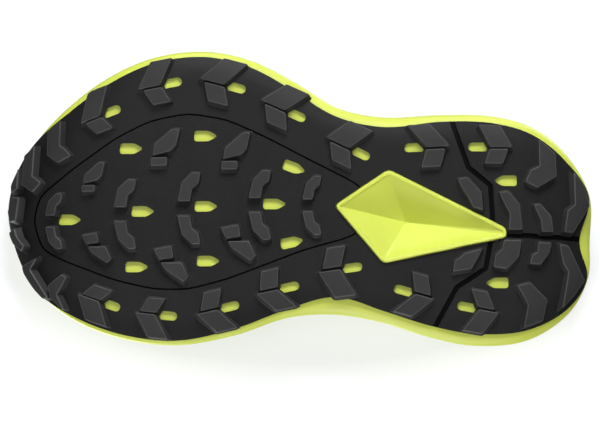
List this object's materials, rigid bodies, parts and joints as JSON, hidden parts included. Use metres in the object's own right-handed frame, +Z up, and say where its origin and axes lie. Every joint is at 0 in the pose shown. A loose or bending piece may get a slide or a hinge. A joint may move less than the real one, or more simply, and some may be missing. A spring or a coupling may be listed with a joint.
{
  "type": "running shoe",
  "caption": "Left trail running shoe on a wide flared foam sole with lugged rubber tread, a faceted arch recess, mesh upper, laced throat, padded tongue and heel loop.",
  "frame": {"origin": "middle of the sole's footprint on the ground, under the lugs", "axes": "+X to the toe, +Y to the outer side of the foot, +Z up"},
  "size_m": [0.2752, 0.1378, 0.1249],
  "materials": {
    "black_rubber": "satin, finely hatched",
    "lime_foam": "satin",
    "plate": "satin",
    "board": "matt",
    "insole_cloth": "matt",
    "mesh_cloth": "matt, woven",
    "lining_cloth": "matt",
    "film": "satin",
    "foam_padding": "matt",
    "webbing": "matt, woven",
    "lace_cord": "matt, braided",
    "lock_plastic": "satin"
  },
  "bodies": {
    "shoe": {"outsole_front": "black_rubber", "outsole_pod": "black_rubber", "outsole_heel_outer": "black_rubber", "outsole_heel_inner": "black_rubber", "midsole_lower": "lime_foam", "midsole_upper": "lime_foam", "rock_plate": "plate", "strobel_board": "board", "upper_shell": "mesh_cloth", "vamp_lining": "lining_cloth", "heel_counter": "board", "collar_foam": "foam_padding", "collar_lining": "lining_cloth", "rand": "film", "toe_cap": "film", "side_overlay_outer": "film", "side_overlay_inner": "film", "heel_cover": "film", "eyestay_outer": "webbing", "eyestay_inner": "webbing", "collar_binding": "webbing", "lace": "lace_cord", "lace_lock": "lock_plastic", "lace_end_clip": "lock_plastic"},
    "tongue": {"tongue_face": "mesh_cloth", "tongue_padding": "foam_padding"},
    "insole_bed": {"insole": "insole_cloth"},
    "pull_loop": {"heel_pull_tab": "webbing"}
  },
  "joints": [
    {"name": "tongue_press", "type": "hinge", "parent": "shoe", "child": "tongue", "pos_m": [0.06, -0.003, 0.068], "axis": [0, -1, 0], "range_deg": [0, 7], "stiffness_Nm_per_rad": 0.25, "springref_deg": -6.88},
    {"name": "insole_lift", "type": "hinge", "parent": "shoe", "child": "insole_bed", "pos_m": [0.117, -0.009, 0.0385], "axis": [0, 1, 0], "range_deg": [0, 5]},
    {"name": "pull_loop_fold", "type": "hinge", "parent": "shoe", "child": "pull_loop", "pos_m": [-0.1255, -0.0138, 0.0865], "axis": [0, -1, 0], "range_deg": [0, 60], "stiffness_Nm_per_rad": 0.006, "springref_deg": -14.32}
  ]
}
